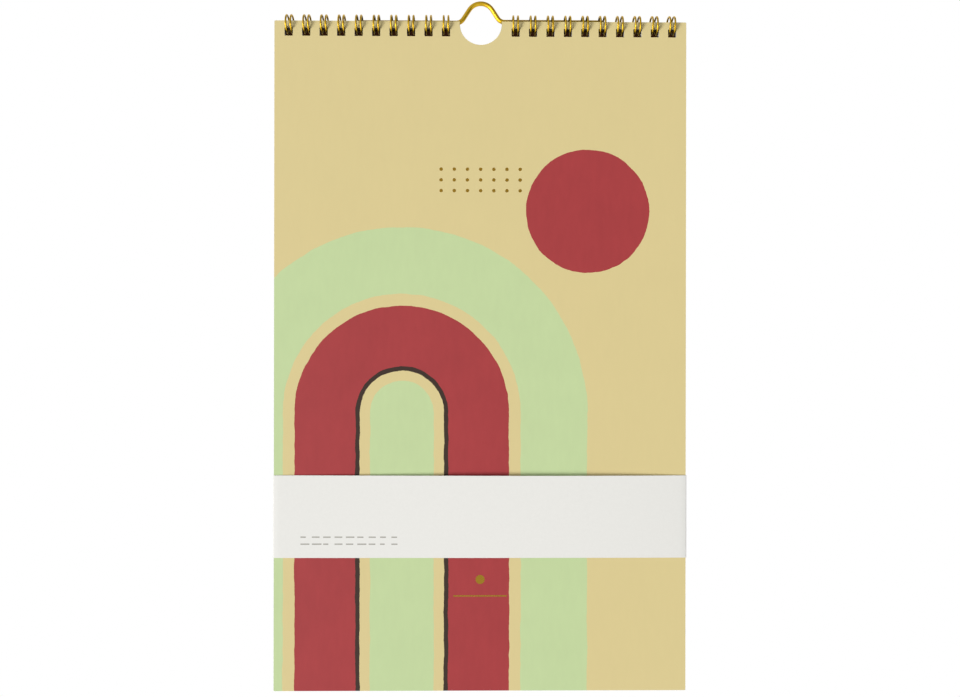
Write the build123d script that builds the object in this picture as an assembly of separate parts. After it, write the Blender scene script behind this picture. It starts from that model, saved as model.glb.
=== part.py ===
from build123d import *
import math
import os

# Wire-bound wall calendar, in millimetres.
# X runs to the right, Z runs up and the front faces -Y. The origin is the point under the
# hanger's hump where a nail carries the calendar.

# Sheets of the pad
PAD_WIDTH = 200.0
PAD_HEIGHT = 325.0
CORNER_RADIUS = 0.5
COVER_THICKNESS = 0.3
PAGE_THICKNESS = 0.12
PAGE_COUNT = 12
BACK_THICKNESS = 0.4

# Square binding holes along the top edge
HOLE_PITCH = 8.467
HOLE_SIDE = 4.0
HOLE_CORNER = 0.3
HOLE_DROP = 5.35            # from the top edge to the middle of a hole
SIDE_LAND = 4.0             # least paper between the last hole and the side of the pad
NOTCH_LAND = 3.0            # least paper between the notch and the first hole

# Half-moon notch in the top edge
NOTCH_RADIUS = 10.3
NOTCH_DROP = 1.1            # from the top edge to the centre of the notch

# Hanger wire
HANGER_DIAMETER = 2.2
HANGER_LENGTH = 120.0
HUMP_RISE = 9.25            # from the axis that the legs turn about to the axis of the hump's top
HUMP_RADIUS = 6.7
HUMP_SLOPE = 57.0           # of the hump's straight flanks, in degrees
FOOT_RADIUS = 4.0
LEG_RISE = 0.95             # from the pad's top edge to the axis that the legs turn about
LEG_DROP = 0.5              # how much lower the left leg lies than the right one
LEG_GAP = 0.5               # between the legs and the back card
LEG_CHAMFER = 0.25

# Twin-loop binding wires
WIRE_DIAMETER = 0.9
WIRE_CLEARANCE = 0.4        # from a pair of loops to the sides of its hole
LOOP_CLEARANCE = 0.2        # from the loops to the sheets and the hanger inside them
LOOP_LEAN = 0.3             # how far the loops lie down and back of the tightest circle
ROOT_RADIUS = 1.0
SEAM_ANGLE = -8.0           # of the straight spine of the wire, in degrees up from the rear
SEAM_CLEARANCE = 0.15       # between the tips of the loops and their roots
SPINE_END = 1.0

# Paper band around the pad
BAND_HEIGHT = 40.0
BAND_RISE = 64.6            # from the bottom of the pad to the bottom of the band
BAND_THICKNESS = 0.2
BAND_CLEARANCE = 0.1
BAND_BOW = 0.6              # how far the middle of its front stands off the cover
BAND_FOLD = 0.1             # inner radius of its folds
FLAP_WIDTH = 24.0           # of the glued overlap at the back
FLAP_RAMP = 3.0
FLAP_OFFSET = 30.0          # from the middle of the back to the middle of the overlap

# Places that follow from the sizes
PAGES_THICKNESS = PAGE_COUNT * PAGE_THICKNESS
LEG_RADIUS = HANGER_DIAMETER / 2
LEG_SWING = LEG_DROP / 2    # from the axis to each leg
AXIS_Z = LEG_RADIUS - HUMP_RISE
TOP_Z = AXIS_Z - LEG_RISE
BOTTOM_Z = TOP_Z - PAD_HEIGHT
BACK_Y = -LEG_RADIUS - LEG_GAP
PAGES_BACK_Y = BACK_Y - BACK_THICKNESS
COVER_BACK_Y = PAGES_BACK_Y - PAGES_THICKNESS
FRONT_Y = COVER_BACK_Y - COVER_THICKNESS
HOLE_Z = TOP_Z - HOLE_DROP
FIRST_HOLE = math.ceil((NOTCH_RADIUS + NOTCH_LAND + HOLE_SIDE / 2) / HOLE_PITCH)
LAST_HOLE = math.floor((PAD_WIDTH / 2 - SIDE_LAND - HOLE_SIDE / 2) / HOLE_PITCH)
HOLE_PLACES = [index * HOLE_PITCH for index in range(FIRST_HOLE, LAST_HOLE + 1)]

# The loops go round the front lower corner of the paper above the holes and round the hanger's legs.
LEG_AXIS = Vector(0, 0, AXIS_Z)
LEG_REACH = LEG_RADIUS + LEG_SWING
PAPER_CORNER = Vector(0, FRONT_Y, HOLE_Z + HOLE_SIDE / 2)
SPAN = LEG_AXIS - PAPER_CORNER
ALONG = SPAN.normalized()
ACROSS = Vector(0, ALONG.Z, -ALONG.Y)
LOOP_CENTRE = PAPER_CORNER + ALONG * ((SPAN.length + LEG_REACH) / 2) + ACROSS * LOOP_LEAN
LOOP_ROOM = max((LOOP_CENTRE - PAPER_CORNER).length, (LOOP_CENTRE - LEG_AXIS).length + LEG_REACH)
LOOP_RADIUS = LOOP_ROOM + LOOP_CLEARANCE + WIRE_DIAMETER / 2
TIP_RADIUS = (HOLE_SIDE - WIRE_DIAMETER) / 2 - WIRE_CLEARANCE


def sheet(back_y, thickness):
    """One sheet of the pad, or a block of them, with its holes and its notch."""
    outline = Pos(0, (TOP_Z + BOTTOM_Z) / 2) * RectangleRounded(PAD_WIDTH, PAD_HEIGHT, CORNER_RADIUS)
    outline -= Pos(0, TOP_Z - NOTCH_DROP) * Circle(NOTCH_RADIUS)
    hole = RectangleRounded(HOLE_SIDE, HOLE_SIDE, HOLE_CORNER)
    outline -= [Pos(side * x, HOLE_Z) * hole for side in (-1, 1) for x in HOLE_PLACES]
    back_plane = Plane(origin=(0, back_y, 0), x_dir=(1, 0, 0), z_dir=(0, -1, 0))
    return extrude(back_plane * outline, amount=thickness)


def loop_point(x, angle, along=0.0):
    """A point on a loop, or on its tangent at that angle."""
    turn = math.radians(angle)
    y = LOOP_CENTRE.Y + LOOP_RADIUS * math.cos(turn) - along * math.sin(turn)
    z = LOOP_CENTRE.Z + LOOP_RADIUS * math.sin(turn) + along * math.cos(turn)
    return (x, y, z)


def binding_wire():
    """The right binding wire: a straight spine that turns out into a pair of loops at every hole."""
    beside = TIP_RADIUS + ROOT_RADIUS
    seam = math.sqrt((beside + WIRE_DIAMETER + SEAM_CLEARANCE) ** 2 - beside ** 2)
    root_angle = SEAM_ANGLE + math.degrees(math.atan(ROOT_RADIUS / LOOP_RADIUS))
    tip_angle = root_angle + 360 - math.degrees(seam / LOOP_RADIUS)
    middle_angle = (root_angle + tip_angle) / 2
    bend = ROOT_RADIUS * math.sin(math.pi / 4)
    start = loop_point(HOLE_PLACES[0] - beside - SPINE_END, root_angle, -ROOT_RADIUS)
    end = start
    edges = []
    for x in HOLE_PLACES:
        left = x - TIP_RADIUS
        right = x + TIP_RADIUS
        left_spine = loop_point(x - beside, root_angle, -ROOT_RADIUS)
        left_bend = loop_point(x - beside + bend, root_angle, -bend)
        left_root = loop_point(left, root_angle)
        right_root = loop_point(right, root_angle)
        right_bend = loop_point(x + beside - bend, root_angle, -bend)
        right_spine = loop_point(x + beside, root_angle, -ROOT_RADIUS)
        left_tip = loop_point(left, tip_angle)
        right_tip = loop_point(right, tip_angle)
        tip = loop_point(x, tip_angle, TIP_RADIUS)
        edges += [
            Line(end, left_spine),
            ThreePointArc(left_spine, left_bend, left_root),
            ThreePointArc(left_root, loop_point(left, middle_angle), left_tip),
            ThreePointArc(left_tip, tip, right_tip),
            ThreePointArc(right_tip, loop_point(right, middle_angle), right_root),
            ThreePointArc(right_root, right_bend, right_spine),
        ]
        end = right_spine
    last = loop_point(HOLE_PLACES[-1] + beside + SPINE_END, root_angle, -ROOT_RADIUS)
    edges.append(Line(end, last))
    section = Plane(origin=start, z_dir=(1, 0, 0)) * Circle(WIRE_DIAMETER / 2)
    return sweep(section, path=Wire(edges))


def hanger():
    """The hanger: two straight legs and a hump between them, bent from one wire."""
    slope = math.radians(HUMP_SLOPE)
    turned = 1 - math.cos(slope)
    hump_z = AXIS_Z + HUMP_RISE - HUMP_RADIUS
    top = (0, 0, hump_z + HUMP_RADIUS)

    def half_points(side):
        leg_z = AXIS_Z + side * LEG_SWING
        flank = (HUMP_RISE - side * LEG_SWING - (HUMP_RADIUS + FOOT_RADIUS) * turned) / math.sin(slope)
        foot_x = (HUMP_RADIUS + FOOT_RADIUS) * math.sin(slope) + flank * math.cos(slope)
        leg_end = (side * HANGER_LENGTH / 2, 0, leg_z)
        foot = (side * foot_x, 0, leg_z)
        half_turn = slope / 2
        foot_middle = (
            side * (foot_x - FOOT_RADIUS * math.sin(half_turn)),
            0,
            leg_z + FOOT_RADIUS * (1 - math.cos(half_turn)),
        )
        flank_low = (side * (foot_x - FOOT_RADIUS * math.sin(slope)), 0, leg_z + FOOT_RADIUS * turned)
        flank_high = (side * HUMP_RADIUS * math.sin(slope), 0, hump_z + HUMP_RADIUS * math.cos(slope))
        return leg_end, foot, foot_middle, flank_low, flank_high

    left_end, left_foot, left_middle, left_low, left_high = half_points(-1)
    right_end, right_foot, right_middle, right_low, right_high = half_points(1)
    path = Wire([
        Line(left_end, left_foot),
        ThreePointArc(left_foot, left_middle, left_low),
        Line(left_low, left_high),
        ThreePointArc(left_high, top, right_high),
        Line(right_high, right_low),
        ThreePointArc(right_low, right_middle, right_foot),
        Line(right_foot, right_end),
    ])
    section = Plane(origin=left_end, z_dir=(1, 0, 0)) * Circle(LEG_RADIUS)
    wire = sweep(section, path=path)
    ends = wire.edges().filter_by(GeomType.CIRCLE).sort_by(Axis.X)
    return chamfer([ends[0], ends[-1]], LEG_CHAMFER)


def band_outline(grow):
    """The section of the band's inner wall, or of its outer wall when grown by the paper's thickness."""
    half = PAD_WIDTH / 2 + BAND_CLEARANCE + grow
    back = BACK_Y + BAND_CLEARANCE + grow
    front = FRONT_Y - BAND_CLEARANCE - grow
    outline = make_face([
        Line((-half, back), (half, back)),
        Line((half, back), (half, front)),
        ThreePointArc((half, front), (0, front - BAND_BOW), (-half, front)),
        Line((-half, front), (-half, back)),
    ])
    return fillet(outline.vertices(), BAND_FOLD + grow)


def belly_band():
    """A strip of paper folded around the pad, with one end glued over the other at the back."""
    wall = band_outline(BAND_THICKNESS) - band_outline(0)
    back = BACK_Y + BAND_CLEARANCE + BAND_THICKNESS
    low = FLAP_OFFSET - FLAP_WIDTH / 2
    high = FLAP_OFFSET + FLAP_WIDTH / 2
    flap = make_face(Polyline(
        (low, back),
        (low, back + BAND_THICKNESS),
        (high, back + BAND_THICKNESS),
        (high + FLAP_RAMP, back),
        close=True,
    ))
    return Pos(0, 0, BOTTOM_Z + BAND_RISE) * extrude(wall + flap, amount=BAND_HEIGHT)


right_wire = binding_wire()
pieces = {
    "front_cover": sheet(COVER_BACK_Y, COVER_THICKNESS),
    "month_pages": sheet(PAGES_BACK_Y, PAGES_THICKNESS),
    "back_card": sheet(BACK_Y, BACK_THICKNESS),
    "left_binding_wire": mirror(right_wire, about=Plane.YZ),
    "right_binding_wire": right_wire,
    "hanger": hanger(),
    "belly_band": belly_band(),
}
os.makedirs("parts", exist_ok=True)
for node, shape in pieces.items():
    export_step(shape, f"parts/{node}.step")
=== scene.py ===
"""Dresses the wire-bound wall calendar and hangs it in a white studio."""

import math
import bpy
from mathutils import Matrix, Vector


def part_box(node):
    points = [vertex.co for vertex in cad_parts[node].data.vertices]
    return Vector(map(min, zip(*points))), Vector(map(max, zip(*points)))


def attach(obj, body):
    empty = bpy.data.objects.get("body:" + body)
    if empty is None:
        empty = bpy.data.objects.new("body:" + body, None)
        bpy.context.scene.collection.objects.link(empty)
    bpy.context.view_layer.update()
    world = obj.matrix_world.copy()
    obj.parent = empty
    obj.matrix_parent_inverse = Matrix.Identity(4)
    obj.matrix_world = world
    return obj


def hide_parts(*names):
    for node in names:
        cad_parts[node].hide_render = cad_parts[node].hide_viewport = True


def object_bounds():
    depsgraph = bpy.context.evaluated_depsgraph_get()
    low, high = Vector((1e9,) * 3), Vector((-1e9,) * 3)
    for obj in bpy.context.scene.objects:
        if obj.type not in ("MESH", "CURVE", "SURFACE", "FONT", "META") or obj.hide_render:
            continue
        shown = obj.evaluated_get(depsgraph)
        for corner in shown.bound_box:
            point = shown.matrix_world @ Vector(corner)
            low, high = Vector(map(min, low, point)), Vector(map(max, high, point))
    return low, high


bl_info = {
    "name": "Wall calendar",
    "version": (1, 0, 0),
    "blender": (4, 5, 0),
    "location": "3D View > Sidebar > Calendar",
    "description": "Printed cover, pages, binding wires, hanger and paper band of a wall calendar",
    "category": "Object",
}

import bmesh
import bpy
from bpy.props import FloatProperty, FloatVectorProperty, IntProperty, PointerProperty
from mathutils import Vector

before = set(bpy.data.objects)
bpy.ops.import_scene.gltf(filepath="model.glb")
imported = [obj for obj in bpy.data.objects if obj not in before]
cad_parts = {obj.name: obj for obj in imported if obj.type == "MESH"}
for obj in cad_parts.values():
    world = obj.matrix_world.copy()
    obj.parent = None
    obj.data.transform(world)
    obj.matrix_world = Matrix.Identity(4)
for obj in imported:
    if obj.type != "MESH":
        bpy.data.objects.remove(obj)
CAD_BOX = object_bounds()

# The frame is in metres. X runs to the right, Z up, and the calendar faces -Y.
MM = 0.001
COVER_LOW, COVER_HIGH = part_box("front_cover")
PAGES_LOW, PAGES_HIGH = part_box("month_pages")
WIRE_LOW, WIRE_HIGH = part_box("right_binding_wire")
HANGER_LOW, HANGER_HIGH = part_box("hanger")
BAND_LOW, BAND_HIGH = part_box("belly_band")
FRONT_Y = COVER_LOW.y
FOOT_Z = COVER_LOW.z
SHARP_EDGE = math.radians(40)
PRINT_DEPTH = 0.02 * MM
MERGE_DISTANCE = 0.001 * MM
PAPER_IOR = 1.47
WHITE = (1.0, 1.0, 1.0, 1.0)
RED_MOTTLE = 0.16

# Painted shade: how far off it is cast, its samples, and how open a spot is at its darkest and where it is
# fully lit
PAPER_NOOK = 3 * MM
WIRE_NOOK = 8 * MM
NOOK_DARK = 0.4
NOOK_LIT = 0.9
NOOK_LEAST = 0.05
NOOK_SAMPLES = 12
BACKING_DARK = 0.39
BACKING_LIT = 0.51
BACKING_SAMPLES = 64

# Studio: the ways the lamps shine and to the soft box, where mirrored white is full, and the nearest view
KEY_HEADING = Vector((0.95, 0.7, 0.4))
REAR_HEADING = Vector((-0.5, -1.0, -0.4))
SOFT_BOX = Vector((-0.6, -0.75, 0.2)).normalized()
MIRROR_DEPTH = 0.3
CLIP_START = 10 * MM

# Steps along the middle lines, points along the wires and sides around them and the foil marks
BEND_STEPS = 8
LOOP_STEPS = 90
HUMP_STEPS = 16
FOOT_STEPS = 12
FOLD_STEPS = 6
FRONT_STEPS = 64
FLAP_STEPS = 8
FLAP_LIFT_STEPS = 6
LOOP_POINTS = 170
LOOP_SIDES = 14
HANGER_POINTS = 320
HANGER_SIDES = 24
DOT_SIDES = 24
MARK_SIDES = 48


# Helpers for properties

def linear(hex_colour):
    """An sRGB hex colour as linear red, green, blue and alpha."""
    channels = [int(hex_colour[start:start + 2], 16) / 255 for start in (1, 3, 5)]
    lit = [c / 12.92 if c <= 0.04045 else ((c + 0.055) / 1.055) ** 2.4 for c in channels]
    return (*lit, 1.0)


def length(name, millimetres, description):
    """A length property whose default is given in millimetres."""
    return FloatProperty(
        name=name, description=description, default=millimetres * MM, precision=5,
        unit="LENGTH", subtype="DISTANCE",
    )


def colour(name, hex_colour, description):
    """A colour property whose default is given as an sRGB hex value."""
    return FloatVectorProperty(
        name=name, description=description, default=linear(hex_colour), size=4, min=0.0, max=1.0,
        subtype="COLOR",
    )


def angle(name, degrees, description):
    """An angle property whose default is given in degrees."""
    return FloatProperty(
        name=name, description=description, default=math.radians(degrees), unit="ROTATION", subtype="ANGLE",
    )


# Sizes and colours that a user would change

class CalendarPrintSettings(bpy.types.PropertyGroup):
    """The cover's painted shapes and foil marks"""

    cream: colour("Cream", "#dbca91", "Ground of the cover")
    green: colour("Green", "#c3d69f", "Outer arch and core")
    red: colour("Red", "#a63a3c", "Inner arch and disc")
    brown: colour("Brown", "#37271e", "Thin line inside the red arch")
    card: colour("Card", "#e9e1cc", "Bare card at the edges and on the back of the cover")
    arch_x: length("Arch across", -38, "Middle of the arches from the middle of the cover")
    arch_rise: length("Arch rise", 135, "Springing line of the arches above the cover's lower edge")
    core_edge: length("Core edge", 15, "Half width of the green core")
    brown_edge: length("Brown edge", 20, "Inner edge of the brown line")
    red_edge: length("Red edge", 22, "Inner edge of the red arch")
    gap_edge: length("Gap edge", 52, "Outer edge of the red arch")
    green_edge: length("Green edge", 57, "Inner edge of the green arch")
    outer_edge: length("Outer edge", 90, "Outer edge of the green arch")
    disc_x: length("Disc across", 52, "Middle of the disc from the middle of the cover")
    disc_rise: length("Disc rise", 233, "Middle of the disc above the cover's lower edge")
    disc_radius: length("Disc radius", 30, "Radius of the red disc")
    foil: colour("Foil", "#a8842f", "Hot-stamped foil")
    dot_columns: IntProperty(name="Dot columns", description="Foil dots side by side", default=7, min=2)
    dot_rows: IntProperty(name="Dot rows", description="Rows of foil dots", default=3, min=2)
    dot_pitch: length("Dot pitch", 6.4, "From one foil dot to the next in a row")
    row_pitch: length("Row pitch", 5.2, "From one row of foil dots to the next")
    dot_radius: length("Dot radius", 0.85, "Radius of a foil dot")
    dots_rise: length("Dots rise", 248, "Middle of the dots above the cover's lower edge")
    rule_rise: length("Rule rise", 46, "Foil rule above the cover's lower edge")
    rule_length: length("Rule length", 26, "Length of the foil rule")
    rule_height: length("Rule height", 0.6, "Height of the foil rule")
    mark_radius: length("Mark radius", 2.2, "Radius of the foil disc above the rule")
    mark_rise: length("Mark rise", 8, "From the rule to the foil disc above it")
    film: length("Foil thickness", 0.02, "How far the foil stands off the card")


class CalendarPageSettings(bpy.types.PropertyGroup):
    """The month pages and the back card"""

    sheets: IntProperty(name="Sheets", description="Month pages", default=12, min=1)
    gap: length("Gap", 0.015, "Air between two pages")
    shuffle: length("Shuffle", 0.1, "How far a page may lie out of line")
    seed: IntProperty(name="Seed", description="Seed of the pages' small shifts", default=4)
    page: colour("Page", "#f2efe6", "White uncoated paper")
    board: colour("Board", "#d9d2c3", "Grey-white board of the back card")
    fleck: colour("Fleck", "#b3a68f", "Fibres in the board")


class CalendarWireSettings(bpy.types.PropertyGroup):
    """The twin-loop binding wires and the hanger"""

    gold: colour("Gold", "#dfb630", "Gold-coloured plating")
    deep_gold: colour("Deep gold", "#b38a16", "Plating where it has dulled")
    pairs: IntProperty(name="Pairs", description="Pairs of loops on each side", default=10, min=1)
    first_pair: IntProperty(name="First pair", description="Pitches from the middle to it", default=2)
    pitch: length("Pitch", 8.467, "From one pair of loops to the next")
    diameter: length("Wire diameter", 0.9, "Thickness of the binding wire")
    tip_radius: length("Tip radius", 1.15, "Half the distance between the two loops of a pair")
    root_radius: length("Root radius", 1.0, "Bend from the straight spine into a loop")
    spine_end: length("Spine end", 1.0, "Straight wire beyond the last bend")
    seam_angle: angle("Seam angle", -8, "Place of the spine, up from straight behind")
    seam_clearance: length("Seam clearance", 0.15, "Between the tips of the loops and their roots")
    hanger_diameter: length("Hanger diameter", 2.2, "Thickness of the hanger wire")
    hump_radius: length("Hump radius", 6.7, "Middle line of the hanger's top")
    hump_slope: angle("Hump slope", 57, "Slope of the hump's straight flanks")
    foot_radius: length("Foot radius", 4.0, "Bend from a flank into a leg")
    leg_drop: length("Leg drop", 0.5, "How much lower the hanger's left leg lies than its right one")
    chamfer: length("Chamfer", 0.2, "Broken edge at the wires' cut ends")


class CalendarBandSettings(bpy.types.PropertyGroup):
    """The paper band around the pad"""

    paper: colour("Paper", "#e9e8e3", "White paper of the band")
    ink: colour("Ink", "#a5a299", "Fine printed dashes")
    thickness: length("Thickness", 0.2, "Thickness of the band's paper")
    fold_radius: length("Fold radius", 0.2, "Middle line of the folds")
    cad_bow: length("CAD bow", 0.6, "How far the middle of the packed band's front stands out")
    low_bow: length("Low bow", 0.35, "How far the front stands out at its lower edge")
    top_bow: length("Top bow", 1.6, "How far the front stands out at its upper edge")
    bow_skew: FloatProperty(name="Bow skew", description="Leans the bow to the right", default=0.6)
    flap_width: length("Flap width", 24, "Glued overlap at the back")
    flap_ramp: length("Flap ramp", 3, "Length over which the flap rises onto the other end")
    flap_offset: length("Flap offset", 30, "Middle of the overlap from the middle of the back")
    flap_lift: length("Flap lift", 0.4, "How far the flap's unglued end stands off the back")
    flap_free: length("Flap free", 5, "Length of the flap's unglued end")
    dash_left: length("Dash left", -87, "Left end of the printed rows")
    dash_count: IntProperty(name="Dashes", description="Dashes in a printed row", default=9, min=1)
    dash_rise: length("Dash rise", 6.4, "Lower printed row above the band's lower edge")
    dash_pitch: length("Dash pitch", 5.5, "From one dash to the next")
    dash_height: length("Dash height", 0.6, "Height of a dash")
    row_pitch: length("Row pitch", 3.4, "From one printed row to the next")


class CalendarStudioSettings(bpy.types.PropertyGroup):
    """Camera, lamps and backdrop"""

    distance: length("Camera distance", 385, "From the cover to the camera")
    frame_width: length("Frame width", 466.2, "What the camera sees across, at the cover")
    camera_rise: length("Camera rise", 166.15, "Height of the camera above the cover's lower edge")
    camera_turn: angle("Camera turn", 0.53, "How far to the left of straight ahead the camera stands")
    camera_roll: angle("Camera roll", -0.08, "How far the camera leans to the side")
    aim_x: length("Aim across", -0.2, "What the camera faces, from the middle of the cover")
    dim: FloatProperty(name="Dim", description="Light from the unlit sides", default=0.14, min=0.0)
    soft: FloatProperty(name="Soft", description="Light from the soft box", default=0.82, min=0.0)
    soft_core: angle("Soft core", 18, "Half the width of the soft box's evenly bright middle")
    soft_edge: angle("Soft edge", 78, "Half the width of the whole soft box")
    key: FloatProperty(name="Key", description="Strength of the key lamp", default=2.95, min=0.0)
    lamp_size: angle("Lamp size", 28, "How wide each lamp looks from the calendar")
    rear: FloatProperty(name="Rear", description="Strength of the lamp behind", default=3.1, min=0.0)
    floor_z: length("Floor", -1300, "Height of the floor in the frame")
    room: length("Room", 4000, "Half width of the floor")
    backing_gap: length("Backing gap", 0.1, "From the wires to the white paper behind the binding")
    backing_drop: length("Backing drop", 0.7, "From the pad's top edge down to that paper")
    backing_height: length("Backing height", 7, "Height of that paper")
    backing_inner: length("Backing inner end", 12.5, "From the middle to that paper, clear of the notch")
    # shade is the colour of the painted shadow on that paper
    shade: colour("Shade", "#2a140b", "That paper where the calendar covers it")
    shade_reach: length("Shade reach", 20, "How far the calendar shades what is behind it")


# Helpers for meshes and node trees

def add_node(tree, kind, inputs=None, **settings):
    """Add a node, set its properties, and fill its inputs with values or links."""
    node = tree.nodes.new(kind)
    for name, value in settings.items():
        setattr(node, name, value)
    for socket, value in (inputs or {}).items():
        if isinstance(value, bpy.types.NodeSocket):
            tree.links.new(value, node.inputs[socket])
        else:
            node.inputs[socket].default_value = value
    return node


def calculate(tree, operation, *values):
    """The result of a Math node."""
    return add_node(tree, "ShaderNodeMath", dict(enumerate(values)), operation=operation).outputs["Value"]


def calculate_vector(tree, operation, inputs, result="Vector"):
    """The result of a Vector Math node."""
    return add_node(tree, "ShaderNodeVectorMath", inputs, operation=operation).outputs[result]


def remap(tree, inputs, **settings):
    """The result of a Map Range node."""
    return add_node(tree, "ShaderNodeMapRange", inputs, **settings).outputs["Result"]


def noise(tree, inputs):
    """The grey value of a noise texture."""
    return add_node(tree, "ShaderNodeTexNoise", inputs).outputs["Fac"]


def blend(tree, share, first, second):
    """A colour between two others."""
    inputs = {0: share, 6: first, 7: second}
    return add_node(tree, "ShaderNodeMix", inputs, data_type="RGBA").outputs[2]


def tone(tree, value, tint):
    """A colour made lighter or darker."""
    return add_node(tree, "ShaderNodeHueSaturation", {"Value": value, "Color": tint}).outputs["Color"]


def bump_map(tree, height, strength, depth):
    """The normals of a fine relief."""
    inputs = {"Height": height, "Strength": strength, "Distance": depth}
    return add_node(tree, "ShaderNodeBump", inputs).outputs["Normal"]


def open_share(tree, reach, samples):
    """How much of the room a spot sees that nothing nearby hides."""
    return add_node(tree, "ShaderNodeAmbientOcclusion", {"Distance": reach}, samples=samples).outputs["AO"]


def glaze(tree, surface, inputs):
    """End a finish in its shader."""
    shader = add_node(tree, "ShaderNodeBsdfPrincipled", inputs)
    tree.links.new(shader.outputs["BSDF"], surface)


def new_material(name):
    """An empty node material with the three nodes that every finish here shares."""
    material = bpy.data.materials.new(name)
    material.use_nodes = True
    tree = material.node_tree
    tree.nodes.clear()
    coordinates = add_node(tree, "ShaderNodeTexCoord")
    place = add_node(
        tree, "ShaderNodeMapping",
        {"Vector": coordinates.outputs["Object"], "Scale": (1 / MM, 1 / MM, 1 / MM)},
    )
    output = add_node(tree, "ShaderNodeOutputMaterial")
    return material, tree, place.outputs["Vector"], output.inputs["Surface"]


def new_tree(name, inputs):
    """An empty Geometry Nodes tree with a geometry input, the named inputs and a geometry output."""
    tree = bpy.data.node_groups.new(name, "GeometryNodeTree")
    tree.interface.new_socket("Geometry", in_out="INPUT", socket_type="NodeSocketGeometry")
    for label, kind in inputs.items():
        tree.interface.new_socket(label, in_out="INPUT", socket_type=kind)
    tree.interface.new_socket("Geometry", in_out="OUTPUT", socket_type="NodeSocketGeometry")
    return tree, add_node(tree, "NodeGroupInput").outputs


def sweep(tree, line, section):
    """A smooth solid of one section along a line."""
    inputs = {"Curve": line, "Profile Curve": section, "Fill Caps": True}
    swept = add_node(tree, "GeometryNodeCurveToMesh", inputs).outputs["Mesh"]
    return add_node(tree, "GeometryNodeSetShadeSmooth", {"Geometry": swept}).outputs["Geometry"]


def close_tree(tree, geometry, material):
    """End a tree in real geometry with its material."""
    real = add_node(tree, "GeometryNodeRealizeInstances", {"Geometry": geometry})
    finished = add_node(
        tree, "GeometryNodeSetMaterial", {"Geometry": real.outputs["Geometry"], "Material": material},
    )
    add_node(tree, "NodeGroupOutput", {0: finished.outputs["Geometry"]})


def new_object(name, mesh):
    """A linked object at the origin."""
    made = bpy.data.objects.new(name, mesh)
    bpy.context.scene.collection.objects.link(made)
    return made


def grow(name, mesh, tree, values):
    """Run a tree on a mesh and return the result as a plain mesh object."""
    carrier = new_object(name + "_carrier", mesh)
    modifier = carrier.modifiers.new(tree.name, "NODES")
    modifier.node_group = tree
    for item in tree.interface.items_tree:
        if item.in_out == "INPUT" and item.name in values:
            modifier[item.identifier] = values[item.name]
    evaluated = carrier.evaluated_get(bpy.context.evaluated_depsgraph_get())
    grown = bpy.data.meshes.new_from_object(evaluated)
    grown.name = name
    bpy.data.objects.remove(carrier)
    bpy.data.meshes.remove(mesh)
    return new_object(name, grown)


def polyline(points):
    """A mesh that holds one open line."""
    mesh = bpy.data.meshes.new("middle line")
    edges = [(index, index + 1) for index in range(len(points) - 1)]
    mesh.from_pydata(points, edges, [])
    return mesh


def steps(start, end, count):
    """Evenly spaced values from start to end, both included."""
    return [start + (end - start) * index / count for index in range(count + 1)]


def dress(node, material):
    """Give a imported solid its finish."""
    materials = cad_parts[node].data.materials
    materials.clear()
    materials.append(material)


# Finishes

def painted_nook_shade(tree, tint, reach):
    """Paint shade into a colour where it lies deep in a punched hole or close behind the pad."""
    openness = open_share(tree, reach, NOOK_SAMPLES)
    value = remap(tree, {
        "Value": openness,
        "From Min": NOOK_DARK,
        "From Max": NOOK_LIT,
        "To Min": NOOK_LEAST,
    })
    return tone(tree, value, tint)


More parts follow.
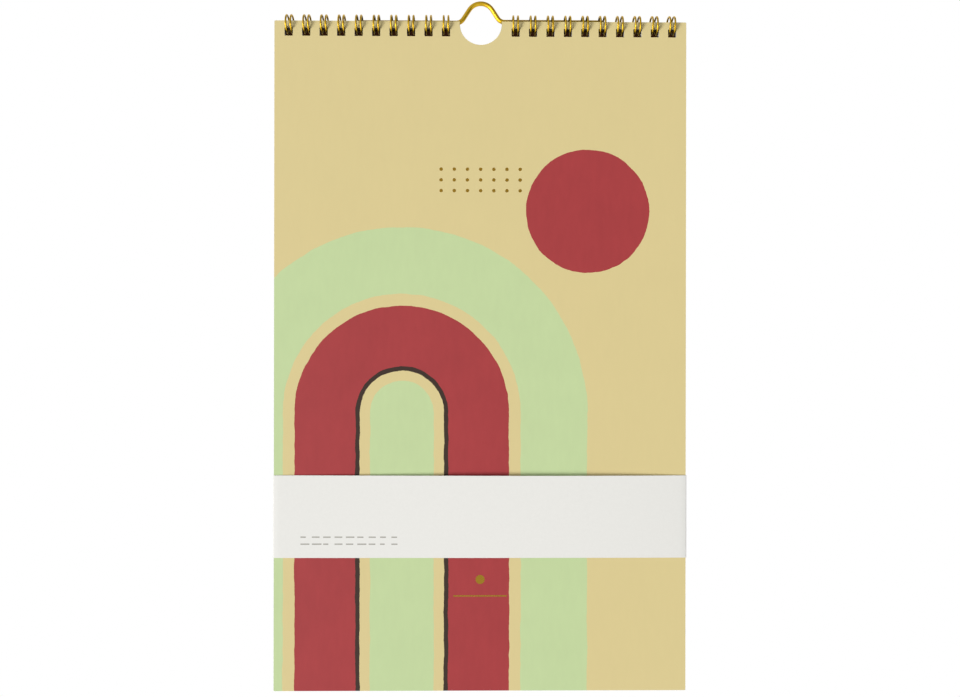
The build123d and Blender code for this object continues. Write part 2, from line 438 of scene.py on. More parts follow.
def printed_card(look):
    """Opaque gouache shapes printed on uncoated card: matt, softly mottled, with brushed edges."""
    material, tree, place, surface = new_material("gouache print on uncoated card")
    brush = add_node(
        tree, "ShaderNodeTexNoise", {"Vector": place, "Scale": 1 / 9, "Detail": 5.0, "Roughness": 0.6},
    ).outputs["Color"]
    centred = calculate_vector(tree, "SUBTRACT", {0: brush, 1: (0.5, 0.5, 0.5)})
    wobble = calculate_vector(tree, "SCALE", {0: centred, "Scale": 1.6})
    brushed = calculate_vector(tree, "ADD", {0: place, 1: wobble})
    axes = add_node(tree, "ShaderNodeSeparateXYZ", {"Vector": brushed}).outputs

    # Arches: the distance from their middle line above the springing line, and from the axis below it
    across = calculate(tree, "SUBTRACT", axes["X"], look.arch_x / MM)
    springing = (FOOT_Z + look.arch_rise) / MM
    above = calculate(tree, "SUBTRACT", axes["Z"], springing)
    rise = calculate(tree, "MAXIMUM", above, 0.0)
    ray = add_node(tree, "ShaderNodeCombineXYZ", {"X": across, "Y": rise}).outputs["Vector"]
    reach = calculate_vector(tree, "LENGTH", {0: ray}, "Value")
    share = calculate(tree, "DIVIDE", reach, 2 * look.outer_edge / MM)
    bands = (
        (0.0, look.green, 0.06),
        (look.core_edge, look.cream, 0.03),
        (look.brown_edge, look.brown, 0.2),
        (look.red_edge, look.red, RED_MOTTLE),
        (look.gap_edge, look.cream, 0.03),
        (look.green_edge, look.green, 0.06),
        (look.outer_edge, look.cream, 0.03),
    )
    paint = add_node(tree, "ShaderNodeValToRGB", {"Fac": share})
    depth = add_node(tree, "ShaderNodeValToRGB", {"Fac": share})
    for ramp in (paint.color_ramp, depth.color_ramp):
        ramp.interpolation = "CONSTANT"
        ramp.elements.remove(ramp.elements[1])
    for index, (edge, tint, mottle) in enumerate(bands):
        position = edge / (2 * look.outer_edge)
        for ramp, value in ((paint.color_ramp, tint), (depth.color_ramp, (mottle, mottle, mottle, 1.0))):
            stop = ramp.elements.new(position) if index else ramp.elements[0]
            stop.position = position
            stop.color = value

    # The disc
    flat = add_node(tree, "ShaderNodeCombineXYZ", {"X": axes["X"], "Y": axes["Z"]}).outputs["Vector"]
    disc_middle = (look.disc_x / MM, (FOOT_Z + look.disc_rise) / MM, 0.0)
    off_disc = calculate_vector(tree, "DISTANCE", {0: flat, 1: disc_middle}, "Value")
    on_disc = calculate(tree, "LESS_THAN", off_disc, look.disc_radius / MM)
    shapes = blend(tree, on_disc, paint.outputs["Color"], look.red)
    mottling = add_node(
        tree, "ShaderNodeMix", {0: on_disc, 2: depth.outputs["Color"], 3: RED_MOTTLE},
    ).outputs[0]

    # Mottling of the paint: clouds some 25 mm wide and brush marks some 3 mm wide
    clouds = noise(tree, {"Vector": place, "Scale": 1 / 25, "Detail": 3.0, "Roughness": 0.6})
    stretched = add_node(tree, "ShaderNodeMapping", {"Vector": place, "Scale": (1.0, 1.0, 0.3)})
    strokes = noise(
        tree, {"Vector": stretched.outputs["Vector"], "Scale": 1 / 3, "Detail": 4.0, "Roughness": 0.6},
    )
    both = calculate(tree, "ADD", clouds, strokes)
    swing = calculate(tree, "SUBTRACT", both, 1.0)
    value = calculate(tree, "MULTIPLY_ADD", swing, mottling, 1.0)
    mottled = tone(tree, value, shapes)

    # Only the front is printed
    depths = add_node(tree, "ShaderNodeSeparateXYZ", {"Vector": place}).outputs
    printed = calculate(tree, "LESS_THAN", depths["Y"], (FRONT_Y + PRINT_DEPTH) / MM)
    face = blend(tree, printed, look.card, mottled)

    # Paper tooth, drawn at 0.5 mm so that it shows
    tooth = noise(tree, {"Vector": place, "Scale": 2.0, "Detail": 3.0})
    bump = bump_map(tree, tooth, 0.25, 0.03 * MM)
    gloss = remap(tree, {"Value": tooth, "To Min": 0.56, "To Max": 0.72})
    glaze(tree, surface, {
        "Base Color": face,
        "Roughness": gloss,
        "Normal": bump,
        "IOR": PAPER_IOR,
        "Specular IOR Level": 0.35,
    })
    return material


def uncoated_paper(paper):
    """Bright uncoated paper: matt, with a faint cloudy formation of its fibres."""
    material, tree, place, surface = new_material("white uncoated paper")
    fibre = noise(tree, {"Vector": place, "Scale": 1 / 1.5, "Detail": 5.0, "Roughness": 0.65})
    value = remap(tree, {"Value": fibre, "To Min": 0.95, "To Max": 1.05})
    tint = tone(tree, value, paper)
    bump = bump_map(tree, fibre, 0.2, 0.03 * MM)
    glaze(tree, surface, {
        # painted shade in the colour, deep in the punched holes and close behind the pad
        "Base Color": painted_nook_shade(tree, tint, PAPER_NOOK),
        "Roughness": 0.8,
        "Normal": bump,
        "IOR": PAPER_IOR,
        "Specular IOR Level": 0.3,
    })
    return material


def grey_board(pages):
    """Recycled board: matt and greyish, with darker fibres in it."""
    material, tree, place, surface = new_material("recycled grey board")
    clouds = noise(tree, {"Vector": place, "Scale": 1 / 6, "Detail": 6.0, "Roughness": 0.7})
    stretched = add_node(tree, "ShaderNodeMapping", {"Vector": place, "Scale": (1.0, 1.0, 0.35)})
    fibres = noise(
        tree, {"Vector": stretched.outputs["Vector"], "Scale": 1 / 0.9, "Detail": 2.0, "Distortion": 1.5},
    )
    flecks = remap(tree, {"Value": fibres, "From Min": 0.6, "From Max": 0.72, "To Max": 0.55})
    speckled = blend(tree, flecks, pages.board, pages.fleck)
    value = remap(tree, {"Value": clouds, "To Min": 0.9, "To Max": 1.1})
    tint = tone(tree, value, speckled)
    bump = bump_map(tree, fibres, 0.3, 0.04 * MM)
    glaze(tree, surface, {
        # painted shade in the colour, deep in the punched holes and close behind the pad
        "Base Color": painted_nook_shade(tree, tint, PAPER_NOOK),
        "Roughness": 0.85,
        "Normal": bump,
        "IOR": PAPER_IOR,
        "Specular IOR Level": 0.25,
    })
    return material


def plated_wire(wires):
    """Gold-coloured plated steel wire: bright, a little duller in patches, with faint drawing marks."""
    material, tree, place, surface = new_material("gold plated steel wire")
    patches = noise(tree, {"Vector": place, "Scale": 1 / 2.5, "Detail": 3.0})
    dull = remap(tree, {"Value": patches, "From Min": 0.35, "From Max": 0.75, "To Max": 0.6})
    tint = blend(tree, dull, wires.gold, wires.deep_gold)
    gloss = remap(tree, {"Value": patches, "To Min": 0.3, "To Max": 0.45})
    marks = noise(tree, {"Vector": place, "Scale": 1 / 0.25, "Detail": 2.0})
    bump = bump_map(tree, marks, 0.12, 0.01 * MM)
    glaze(tree, surface, {
        # painted shade in the colour where the wire runs through the holes and behind the pad
        "Base Color": painted_nook_shade(tree, tint, WIRE_NOOK),
        "Metallic": 1.0,
        "Roughness": gloss,
        "Normal": bump,
    })
    return material


def stamped_foil(look):
    """Hot-stamped metallic foil: mirror-like, broken by the tooth of the card below."""
    material, tree, place, surface = new_material("hot stamped gold foil")
    tooth = noise(tree, {"Vector": place, "Scale": 2.0, "Detail": 3.0})
    gloss = remap(tree, {"Value": tooth, "To Min": 0.15, "To Max": 0.4})
    bump = bump_map(tree, tooth, 0.5, 0.03 * MM)
    glaze(tree, surface, {"Base Color": look.foil, "Metallic": 1.0, "Roughness": gloss, "Normal": bump})
    return material


def band_paper(band):
    """White uncoated paper with two rows of fine printed dashes at its lower left."""
    material, tree, place, surface = new_material("printed white band paper")
    axes = add_node(tree, "ShaderNodeSeparateXYZ", {"Vector": place}).outputs
    row_low = (BAND_LOW.z + band.dash_rise) / MM
    along = remap(tree, {
        "Value": axes["X"],
        "From Min": band.dash_left / MM,
        "From Max": (band.dash_left + band.dash_pitch) / MM,
    }, clamp=False)
    up = remap(tree, {
        "Value": axes["Z"],
        "From Min": row_low,
        "From Max": row_low + band.row_pitch / MM,
    }, clamp=False)
    cell_x = calculate(tree, "FLOOR", along)
    cell_z = calculate(tree, "FLOOR", up)
    cell = add_node(tree, "ShaderNodeCombineXYZ", {"X": cell_x, "Y": cell_z}).outputs["Vector"]
    chance = add_node(
        tree, "ShaderNodeTexWhiteNoise", {"Vector": cell}, noise_dimensions="2D",
    ).outputs["Value"]
    dash = remap(tree, {"Value": chance, "To Min": 0.4, "To Max": 0.85})
    within_x = calculate(tree, "FRACT", along)
    within_z = calculate(tree, "FRACT", up)
    tests = (
        (within_x, dash, "LESS_THAN"),
        (within_z, band.dash_height / band.row_pitch, "LESS_THAN"),
        (along, 0.0, "GREATER_THAN"),
        (along, band.dash_count, "LESS_THAN"),
        (up, 0.0, "GREATER_THAN"),
        (up, 2.0, "LESS_THAN"),
        (axes["Y"], FRONT_Y / MM, "LESS_THAN"),
    )
    inked = 1.0
    for first, second, test in tests:
        inked = calculate(tree, "MULTIPLY", calculate(tree, test, first, second), inked)
    fibre = noise(tree, {"Vector": place, "Scale": 1 / 1.5, "Detail": 5.0, "Roughness": 0.65})
    value = remap(tree, {"Value": fibre, "To Min": 0.97, "To Max": 1.03})
    sheet = tone(tree, value, band.paper)
    tint = blend(tree, inked, sheet, band.ink)
    bump = bump_map(tree, fibre, 0.2, 0.03 * MM)
    glaze(tree, surface, {
        "Base Color": tint,
        "Roughness": 0.75,
        "Normal": bump,
        "IOR": PAPER_IOR,
        "Specular IOR Level": 0.3,
    })
    return material


def white_paper_with_painted_shadow(studio):
    """White studio paper: white to the eye, with a painted shadow where the calendar covers it, and clear
    from behind.
    """
    material = bpy.data.materials.new("white studio paper with painted shadow")
    material.use_nodes = True
    tree = material.node_tree
    tree.nodes.clear()
    # Painted shadow: the paper's colour goes from the shade colour to white as more of the room is open
    openness = open_share(tree, studio.shade_reach, BACKING_SAMPLES)
    lit = remap(tree, {"Value": openness, "From Min": BACKING_DARK, "From Max": BACKING_LIT})
    white = blend(tree, lit, studio.shade, WHITE)
    glow = add_node(tree, "ShaderNodeEmission", {"Color": white}).outputs["Emission"]
    path = add_node(tree, "ShaderNodeLightPath").outputs
    seen = calculate(tree, "MAXIMUM", path["Is Camera Ray"], path["Is Glossy Ray"])
    shown = calculate(tree, "MAXIMUM", seen, path["Is Transmission Ray"])
    behind = add_node(tree, "ShaderNodeNewGeometry").outputs["Backfacing"]
    front = add_node(
        tree, "ShaderNodeMath", {0: shown, 1: behind}, operation="SUBTRACT", use_clamp=True,
    ).outputs["Value"]
    clear = add_node(tree, "ShaderNodeBsdfTransparent").outputs["BSDF"]
    mixed = add_node(tree, "ShaderNodeMixShader", {0: front, 1: clear, 2: glow}).outputs["Shader"]
    add_node(tree, "ShaderNodeOutputMaterial", {"Surface": mixed})
    return material


# Geometry Nodes trees

def wire_tree():
    """A round wire along a middle line that repeats, each time one step further on."""
    tree, given = new_tree("Repeated wire", {
        "Pairs": "NodeSocketInt",
        "Step": "NodeSocketVector",
        "Points": "NodeSocketInt",
        "Radius": "NodeSocketFloat",
        "Sides": "NodeSocketInt",
        "End trim": "NodeSocketFloat",
        "Material": "NodeSocketMaterial",
    })
    one = add_node(tree, "GeometryNodeMeshToCurve", {"Mesh": given["Geometry"]}).outputs["Curve"]
    total = calculate(tree, "MULTIPLY_ADD", given["Pairs"], given["Points"], 1.0)
    straight = add_node(tree, "GeometryNodeCurvePrimitiveLine").outputs["Curve"]
    divided = add_node(
        tree, "GeometryNodeResampleCurve", {"Curve": straight, "Count": total}, mode="COUNT",
    ).outputs["Curve"]
    index = add_node(tree, "GeometryNodeInputIndex").outputs["Index"]
    travel = calculate(tree, "DIVIDE", index, given["Points"])
    within = calculate(tree, "FRACT", travel)
    pair = calculate(tree, "FLOOR", travel)
    moved = calculate_vector(tree, "SCALE", {0: given["Step"], "Scale": pair})
    sampled = add_node(
        tree, "GeometryNodeSampleCurve", {"Curves": one, "Factor": within}, mode="FACTOR",
    ).outputs["Position"]
    bent = add_node(
        tree, "GeometryNodeSetPosition", {"Geometry": divided, "Position": sampled, "Offset": moved},
    ).outputs["Geometry"]
    whole = add_node(tree, "GeometryNodeCurveLength", {"Curve": bent}).outputs["Length"]
    last = calculate(tree, "SUBTRACT", whole, given["End trim"])
    trimmed = add_node(
        tree, "GeometryNodeTrimCurve", {"Curve": bent, 4: given["End trim"], 5: last}, mode="LENGTH",
    ).outputs["Curve"]
    section = add_node(
        tree, "GeometryNodeCurvePrimitiveCircle",
        {"Resolution": given["Sides"], "Radius": given["Radius"]},
    ).outputs["Curve"]
    close_tree(tree, sweep(tree, trimmed, section), given["Material"])
    return tree


def strip_tree():
    """A strip of paper that stands on a flat middle line."""
    tree, given = new_tree("Folded strip", {
        "Thickness": "NodeSocketFloat",
        "Height": "NodeSocketFloat",
        "Material": "NodeSocketMaterial",
    })
    line = add_node(tree, "GeometryNodeMeshToCurve", {"Mesh": given["Geometry"]}).outputs["Curve"]
    upright = add_node(
        tree, "GeometryNodeSetCurveNormal", {"Curve": line}, mode="Z_UP",
    ).outputs["Curve"]
    section = add_node(
        tree, "GeometryNodeCurvePrimitiveQuadrilateral",
        {"Width": given["Thickness"], "Height": given["Height"]},
    ).outputs["Curve"]
    close_tree(tree, sweep(tree, upright, section), given["Material"])
    return tree


def page_tree():
    """A block of pages, each a little out of line with the next."""
    tree, given = new_tree("Page block", {
        "Sheets": "NodeSocketInt",
        "Spacing": "NodeSocketFloat",
        "Shuffle": "NodeSocketFloat",
        "Seed": "NodeSocketInt",
        "Material": "NodeSocketMaterial",
    })
    forward = calculate(tree, "MULTIPLY", given["Spacing"], -1.0)
    spacing = add_node(tree, "ShaderNodeCombineXYZ", {"Y": forward}).outputs["Vector"]
    places = add_node(
        tree, "GeometryNodeMeshLine", {"Count": given["Sheets"], "Offset": spacing}, mode="OFFSET",
    ).outputs["Mesh"]
    most = add_node(
        tree, "ShaderNodeCombineXYZ", {"X": given["Shuffle"], "Z": given["Shuffle"]},
    ).outputs["Vector"]
    least = calculate_vector(tree, "SCALE", {0: most, "Scale": -1.0})
    shuffle = add_node(
        tree, "FunctionNodeRandomValue", {0: least, 1: most, "Seed": given["Seed"]},
        data_type="FLOAT_VECTOR",
    ).outputs["Value"]
    shuffled = add_node(
        tree, "GeometryNodeSetPosition", {"Geometry": places, "Offset": shuffle},
    ).outputs["Geometry"]
    stack = add_node(
        tree, "GeometryNodeInstanceOnPoints", {"Points": shuffled, "Instance": given["Geometry"]},
    ).outputs["Instances"]
    close_tree(tree, stack, given["Material"])
    return tree


def foil_tree():
    """A grid of foil dots, and below it a rule with a disc above it, all facing -Y."""
    tree, given = new_tree("Foil marks", {
        "Columns": "NodeSocketInt",
        "Rows": "NodeSocketInt",
        "Grid width": "NodeSocketFloat",
        "Grid height": "NodeSocketFloat",
        "Dot radius": "NodeSocketFloat",
        "Film": "NodeSocketFloat",
        "Rule size": "NodeSocketVector",
        "Rule place": "NodeSocketVector",
        "Mark radius": "NodeSocketFloat",
        "Mark place": "NodeSocketVector",
        "Place": "NodeSocketVector",
        "Material": "NodeSocketMaterial",
    })
    grid = add_node(
        tree, "GeometryNodeMeshGrid",
        {
            "Size X": given["Grid width"], "Size Y": given["Grid height"],
            "Vertices X": given["Columns"], "Vertices Y": given["Rows"],
        },
    ).outputs["Mesh"]
    dot = add_node(
        tree, "GeometryNodeMeshCylinder",
        {"Vertices": DOT_SIDES, "Radius": given["Dot radius"], "Depth": given["Film"]},
    ).outputs["Mesh"]
    dots = add_node(
        tree, "GeometryNodeInstanceOnPoints", {"Points": grid, "Instance": dot},
    ).outputs["Instances"]
    bar = add_node(tree, "GeometryNodeMeshCube", {"Size": given["Rule size"]}).outputs["Mesh"]
    rule = add_node(
        tree, "GeometryNodeTransform", {"Geometry": bar, "Translation": given["Rule place"]},
    ).outputs["Geometry"]
    disc = add_node(
        tree, "GeometryNodeMeshCylinder",
        {"Vertices": MARK_SIDES, "Radius": given["Mark radius"], "Depth": given["Film"]},
    ).outputs["Mesh"]
    mark = add_node(
        tree, "GeometryNodeTransform", {"Geometry": disc, "Translation": given["Mark place"]},
    ).outputs["Geometry"]
    marks = add_node(tree, "GeometryNodeJoinGeometry")
    for geometry in (mark, rule, dots):
        tree.links.new(geometry, marks.inputs["Geometry"])
    upright = add_node(
        tree, "GeometryNodeTransform",
        {
            "Geometry": marks.outputs["Geometry"], "Translation": given["Place"],
            "Rotation": (math.pi / 2, 0.0, 0.0),
        },
    ).outputs["Geometry"]
    close_tree(tree, upright, given["Material"])
    return tree


# Middle lines of the wires and the band

def loop_pair_line(wires):
    """One pair of loops, from the middle of one straight spine to the middle of the next."""
    outer = (WIRE_HIGH.z - WIRE_LOW.z) / 2
    radius = outer - wires.diameter / 2
    centre_y = WIRE_LOW.y + outer
    centre_z = (WIRE_LOW.z + WIRE_HIGH.z) / 2
    tip = wires.tip_radius
    root = wires.root_radius
    beside = tip + root
    seam = math.sqrt((beside + wires.diameter + wires.seam_clearance) ** 2 - beside ** 2)
    root_angle = wires.seam_angle + math.atan(root / radius)
    tip_angle = root_angle + 2 * math.pi - seam / radius

    def on_loop(x, turn, along=0.0):
        y = centre_y + radius * math.cos(turn) - along * math.sin(turn)
        z = centre_z + radius * math.sin(turn) + along * math.cos(turn)
        return Vector((x, y, z))

    half = [on_loop(-wires.pitch / 2, root_angle, -root)]
    for turn in steps(-math.pi / 2, 0, BEND_STEPS):
        half.append(on_loop(-beside + root * math.cos(turn), root_angle, root * math.sin(turn)))
    for turn in steps(root_angle, tip_angle, LOOP_STEPS)[1:]:
        half.append(on_loop(-tip, turn))
    for turn in steps(0, math.pi / 2, BEND_STEPS)[1:]:
        half.append(on_loop(-tip * math.cos(turn), tip_angle, tip * math.sin(turn)))
    return half + [Vector((-p.x, p.y, p.z)) for p in reversed(half[:-1])]


def hanger_line(wires):
    """The hanger from the end of its left leg, over the hump, to the end of its right leg."""
    thick = wires.hanger_diameter / 2
    left_z = HANGER_LOW.z + thick
    top_z = HANGER_HIGH.z - thick
    slope = wires.hump_slope
    bends = wires.hump_radius + wires.foot_radius
    hump_z = top_z - wires.hump_radius

    def half(side, leg_z):
        flank = (top_z - leg_z - bends * (1 - math.cos(slope))) / math.sin(slope)
        foot_x = bends * math.sin(slope) + flank * math.cos(slope)
        points = []
        for turn in steps(math.pi / 2, math.pi / 2 - slope, HUMP_STEPS):
            x = wires.hump_radius * math.cos(turn)
            points.append(Vector((side * x, 0, hump_z + wires.hump_radius * math.sin(turn))))
        for turn in steps(-math.pi / 2 - slope, -math.pi / 2, FOOT_STEPS):
            x = foot_x + wires.foot_radius * math.cos(turn)
            points.append(Vector((side * x, 0, leg_z + wires.foot_radius * (1 + math.sin(turn)))))
        points.append(Vector((side * HANGER_HIGH.x, 0, leg_z)))
        return points

    return half(-1, left_z)[:0:-1] + half(1, left_z + wires.leg_drop)


def band_line(band):
    """The band from its inner end at the back, once around the pad and over itself."""
    paper = band.thickness
    middle_z = (BAND_LOW.z + BAND_HIGH.z) / 2
    side = BAND_HIGH.x - paper / 2
    outer_y = BAND_HIGH.y - paper / 2
    back_y = outer_y - paper
    front_y = BAND_LOW.y + paper / 2 + band.cad_bow
    fold = band.fold_radius
    flap_low = band.flap_offset - band.flap_width / 2
    flap_high = band.flap_offset + band.flap_width / 2
    line = [(flap_high, back_y)]

    def quarter_fold(x, y, start):
        for turn in steps(start, start + math.pi / 2, FOLD_STEPS):
            line.append((x + fold * math.cos(turn), y + fold * math.sin(turn)))

    quarter_fold(-side + fold, back_y - fold, math.pi / 2)
    quarter_fold(-side + fold, front_y + fold, math.pi)
    for share in steps(-1, 1, FRONT_STEPS)[1:-1]:
        line.append((share * (side - fold), front_y))
    quarter_fold(side - fold, front_y + fold, -math.pi / 2)
    quarter_fold(side - fold, back_y - fold, 0)
    for share in steps(0, 1, FLAP_STEPS):
        rise = (1 - math.cos(math.pi * share)) / 2
        line.append((flap_high + band.flap_ramp * (1 - share), back_y + paper * rise))
    for share in steps(0, 1, FLAP_LIFT_STEPS):
        line.append((flap_low + band.flap_free * (1 - share), outer_y + band.flap_lift * share ** 2))
    return [Vector((x, y, middle_z)) for x, y in line]


def bow_front(strip, band):
    """Let the band's front stand off the cover, more at its upper edge than at its lower one."""
    height = BAND_HIGH.z - BAND_LOW.z
    for vertex in strip.data.vertices:
        if vertex.co.y < FRONT_Y:
            rise = (vertex.co.z - BAND_LOW.z) / height
            share = vertex.co.x / BAND_HIGH.x
            bow = band.low_bow + (band.top_bow - band.low_bow) * rise
            vertex.co.y -= bow * (1 - share ** 2) * (1 + band.bow_skew * share)


def break_ends(wire, chamfer):
    """Break the sharp edges of a wire's two cut ends and mark its other sharp edges."""
    shape = bmesh.new()
    shape.from_mesh(wire.data)
    caps = [face for face in shape.faces if len(face.verts) > 4]
    edges = {edge for face in caps for edge in face.edges}
    bmesh.ops.bevel(shape, geom=list(edges), offset=chamfer, segments=2, affect="EDGES", profile=0.5)
    shape.to_mesh(wire.data)
    shape.free()
    wire.data.set_sharp_from_angle(angle=SHARP_EDGE)


# Operators, one for each piece or group of like pieces

class CALENDAR_OT_cover(bpy.types.Operator):
    """Print the front cover"""

    bl_idname = "calendar.cover"
    bl_label = "Front cover"

    def execute(self, context):
        dress("front_cover", printed_card(context.scene.calendar_print))
        return {"FINISHED"}


class CALENDAR_OT_back_card(bpy.types.Operator):
    """Give the back card its board finish"""

    bl_idname = "calendar.back_card"
    bl_label = "Back card"

    def execute(self, context):
        dress("back_card", grey_board(context.scene.calendar_pages))
        return {"FINISHED"}


class CALENDAR_OT_pages(bpy.types.Operator):
    """Stack the month pages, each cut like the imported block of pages"""

    bl_idname = "calendar.pages"
    bl_label = "Month pages"

    def execute(self, context):
        pages = context.scene.calendar_pages
        block = PAGES_HIGH.y - PAGES_LOW.y
        spacing = block / pages.sheets
        half = PAGES_HIGH.x
        sheet = bmesh.new()
        sheet.from_mesh(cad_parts["month_pages"].data)
        bmesh.ops.remove_doubles(sheet, verts=sheet.verts, dist=MERGE_DISTANCE)
        for vertex in sheet.verts:
            vertex.co.x *= (half - pages.shuffle) / half
            vertex.co.y = PAGES_HIGH.y + (vertex.co.y - PAGES_HIGH.y) * (spacing - pages.gap) / block
        one = bpy.data.meshes.new("one page")
        sheet.to_mesh(one)
        sheet.free()
        stack = grow("month_page_stack", one, page_tree(), {
            "Sheets": pages.sheets,
            "Spacing": spacing,
            "Shuffle": pages.shuffle,
            "Seed": pages.seed,
            "Material": uncoated_paper(pages.page),
        })
        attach(stack, "pad")
        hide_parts("month_pages")
        return {"FINISHED"}


class CALENDAR_OT_wires(bpy.types.Operator):
    """Bend the two twin-loop binding wires and the hanger"""

    bl_idname = "calendar.wires"
    bl_label = "Binding wires and hanger"

    def execute(self, context):
        wires = context.scene.calendar_wires
        tree = wire_tree()
        finish = plated_wire(wires)
        beside = wires.tip_radius + wires.root_radius
        first = wires.first_pair * wires.pitch
        last = (wires.first_pair + wires.pairs - 1) * wires.pitch
        for side, start in (("left", -last), ("right", first)):
            line = [point + Vector((start, 0, 0)) for point in loop_pair_line(wires)]
            loops = grow(side + "_twin_loops", polyline(line), tree, {
                "Pairs": wires.pairs,
                "Step": line[-1] - line[0],
                "Points": LOOP_POINTS,
                "Radius": wires.diameter / 2,
                "Sides": LOOP_SIDES,
                "End trim": wires.pitch / 2 - beside - wires.spine_end,
                "Material": finish,
            })
            break_ends(loops, wires.chamfer / 2)
            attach(loops, "pad")
            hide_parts(side + "_binding_wire")
        line = hanger_line(wires)
        hanger = grow("bent_hanger", polyline(line), tree, {
            "Pairs": 1,
            "Step": line[-1] - line[0],
            "Points": HANGER_POINTS,
            "Radius": wires.hanger_diameter / 2,
            "Sides": HANGER_SIDES,
            "End trim": 0.0,
            "Material": finish,
        })
        break_ends(hanger, wires.chamfer)
        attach(hanger, "hanger")
        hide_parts("hanger")
        return {"FINISHED"}


class CALENDAR_OT_band(bpy.types.Operator):
    """Fold the paper band around the pad"""

    bl_idname = "calendar.band"
    bl_label = "Paper band"

    def execute(self, context):
        band = context.scene.calendar_band
        strip = grow("folded_band", polyline(band_line(band)), strip_tree(), {
            "Thickness": band.thickness,
            "Height": BAND_HIGH.z - BAND_LOW.z,
            "Material": band_paper(band),
        })
        bow_front(strip, band)
        strip.data.set_sharp_from_angle(angle=SHARP_EDGE)
        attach(strip, "belly_band")
        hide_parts("belly_band")
        return {"FINISHED"}


class CALENDAR_OT_foil(bpy.types.Operator):
    """Stamp the foil dots, the rule and the disc on the cover"""

    bl_idname = "calendar.foil"
    bl_label = "Foil marks"

    def execute(self, context):
        look = context.scene.calendar_print
        drop = look.dots_rise - look.rule_rise
        marks = grow("foil_marks", bpy.data.meshes.new("no marks"), foil_tree(), {
            "Columns": look.dot_columns,
            "Rows": look.dot_rows,
            "Grid width": (look.dot_columns - 1) * look.dot_pitch,
            "Grid height": (look.dot_rows - 1) * look.row_pitch,
            "Dot radius": look.dot_radius,
            "Film": look.film,
            "Rule size": (look.rule_length, look.rule_height, look.film),
            "Rule place": (0.0, -drop, 0.0),
            "Mark radius": look.mark_radius,
            "Mark place": (0.0, look.mark_rise - drop, 0.0),
            "Place": (0.0, FRONT_Y - look.film / 2, FOOT_Z + look.dots_rise),
            "Material": stamped_foil(look),
        })
        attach(marks, "pad")
        return {"FINISHED"}


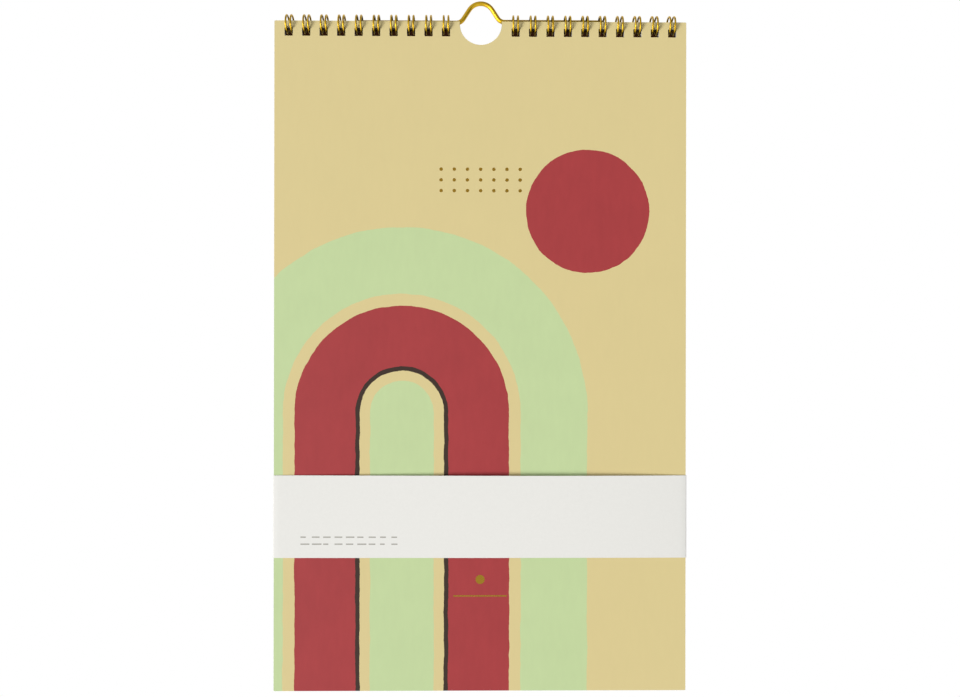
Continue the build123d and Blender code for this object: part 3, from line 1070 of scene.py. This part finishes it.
class CALENDAR_OT_studio(bpy.types.Operator):
    """Set up the floor, the paper behind the binding, the lamps, the world and the camera"""

    bl_idname = "calendar.studio"
    bl_label = "Studio"

    def execute(self, context):
        scene = context.scene
        studio = scene.calendar_studio
        white = white_paper_with_painted_shadow(studio)

        # A white floor, and white paper behind the binding on each side of the notch; both show a painted
        # shadow where the calendar covers them, and that painted shadow is what shows dark through the holes
        room = studio.room
        low = studio.floor_z
        inner = studio.backing_inner
        outer = COVER_HIGH.x
        back_y = CAD_BOX[1].y + studio.backing_gap
        top = COVER_HIGH.z - studio.backing_drop
        foot = top - studio.backing_height

        def backing(left, right):
            return ((left, back_y, foot), (right, back_y, foot), (right, back_y, top), (left, back_y, top))

        floor = ((-room, -room, low), (room, -room, low), (room, room, low), (-room, room, low))
        papers = {
            "studio_floor": floor,
            "left_backing": backing(-outer, -inner),
            "right_backing": backing(inner, outer),
        }
        for name, corners in papers.items():
            mesh = bpy.data.meshes.new(name)
            mesh.from_pydata(corners, [], [(0, 1, 2, 3)])
            mesh.materials.append(white)
            backdrop = new_object(name, mesh)
            backdrop.visible_shadow = False

        # Lamps: a soft key from the lower left in front, and one behind that gives no highlights
        lamps = (("key", studio.key, KEY_HEADING), ("rear", studio.rear, REAR_HEADING))
        for name, strength, heading in lamps:
            lamp = bpy.data.lights.new(name, "SUN")
            lamp.energy = strength
            lamp.angle = studio.lamp_size
            holder = new_object(name, lamp)
            holder.rotation_euler = heading.to_track_quat("-Z", "Y").to_euler()
            holder.visible_glossy = name == "key"

        # World: a large soft box at the upper left of a dim room, white for the eye and behind in mirrors
        world = bpy.data.worlds.new("studio")
        world.use_nodes = True
        scene.world = world
        tree = world.node_tree
        tree.nodes.clear()
        direction = add_node(tree, "ShaderNodeTexCoord").outputs["Generated"]
        toward = calculate_vector(tree, "DOT_PRODUCT", {0: direction, 1: SOFT_BOX}, "Value")
        soft_box = remap(tree, {
            "Value": toward,
            "From Min": math.cos(studio.soft_edge),
            "From Max": math.cos(studio.soft_core),
            "To Min": studio.dim,
            "To Max": studio.soft,
        }, interpolation_type="SMOOTHSTEP")
        path = add_node(tree, "ShaderNodeLightPath").outputs
        mirrored = calculate(tree, "MAXIMUM", path["Is Glossy Ray"], path["Is Transmission Ray"])
        depth = add_node(tree, "ShaderNodeSeparateXYZ", {"Vector": direction}).outputs["Y"]
        mirrored_white = remap(tree, {"Value": depth, "From Max": MIRROR_DEPTH, "To Max": mirrored})
        whiteness = calculate(tree, "MAXIMUM", path["Is Camera Ray"], mirrored_white)
        strength = remap(tree, {"Value": whiteness, "To Min": soft_box, "To Max": 1.0})
        sky = add_node(tree, "ShaderNodeBackground", {"Color": WHITE, "Strength": strength})
        add_node(tree, "ShaderNodeOutputWorld", {"Surface": sky.outputs["Background"]})
        scene.view_settings.view_transform = "Standard"

        lens = bpy.data.cameras.new("camera")
        lens.lens = lens.sensor_width * studio.distance / studio.frame_width
        lens.clip_start = CLIP_START
        camera = new_object("camera", lens)
        turn = studio.camera_turn
        camera.location = (
            studio.aim_x - studio.distance * math.sin(turn),
            FRONT_Y - studio.distance * math.cos(turn),
            FOOT_Z + studio.camera_rise,
        )
        camera.rotation_euler = (math.pi / 2, studio.camera_roll, -turn)
        scene.camera = camera
        return {"FINISHED"}


class CALENDAR_PT_sidebar(bpy.types.Panel):
    """Lists the calendar's pieces"""

    bl_idname = "CALENDAR_PT_sidebar"
    bl_label = "Wall calendar"
    bl_space_type = "VIEW_3D"
    bl_region_type = "UI"
    bl_category = "Calendar"

    def draw(self, context):
        for operator in OPERATORS:
            self.layout.operator(operator.bl_idname)


OPERATORS = (
    CALENDAR_OT_cover,
    CALENDAR_OT_back_card,
    CALENDAR_OT_pages,
    CALENDAR_OT_wires,
    CALENDAR_OT_band,
    CALENDAR_OT_foil,
    CALENDAR_OT_studio,
)
SETTINGS = {
    "calendar_print": CalendarPrintSettings,
    "calendar_pages": CalendarPageSettings,
    "calendar_wires": CalendarWireSettings,
    "calendar_band": CalendarBandSettings,
    "calendar_studio": CalendarStudioSettings,
}


def register():
    """Register the settings, the operators and the panel."""
    for name, group in SETTINGS.items():
        bpy.utils.register_class(group)
        setattr(bpy.types.Scene, name, PointerProperty(type=group))
    for operator in OPERATORS:
        bpy.utils.register_class(operator)
    bpy.utils.register_class(CALENDAR_PT_sidebar)


def unregister():
    """Take away what register added."""
    bpy.utils.unregister_class(CALENDAR_PT_sidebar)
    for operator in OPERATORS:
        bpy.utils.unregister_class(operator)
    for name, group in SETTINGS.items():
        delattr(bpy.types.Scene, name)
        bpy.utils.unregister_class(group)


def main():
    """Build every piece and the studio."""
    register()
    bpy.ops.calendar.cover()
    bpy.ops.calendar.back_card()
    bpy.ops.calendar.pages()
    bpy.ops.calendar.wires()
    bpy.ops.calendar.band()
    bpy.ops.calendar.foil()
    bpy.ops.calendar.studio()


if __name__ == "__main__":
    main()
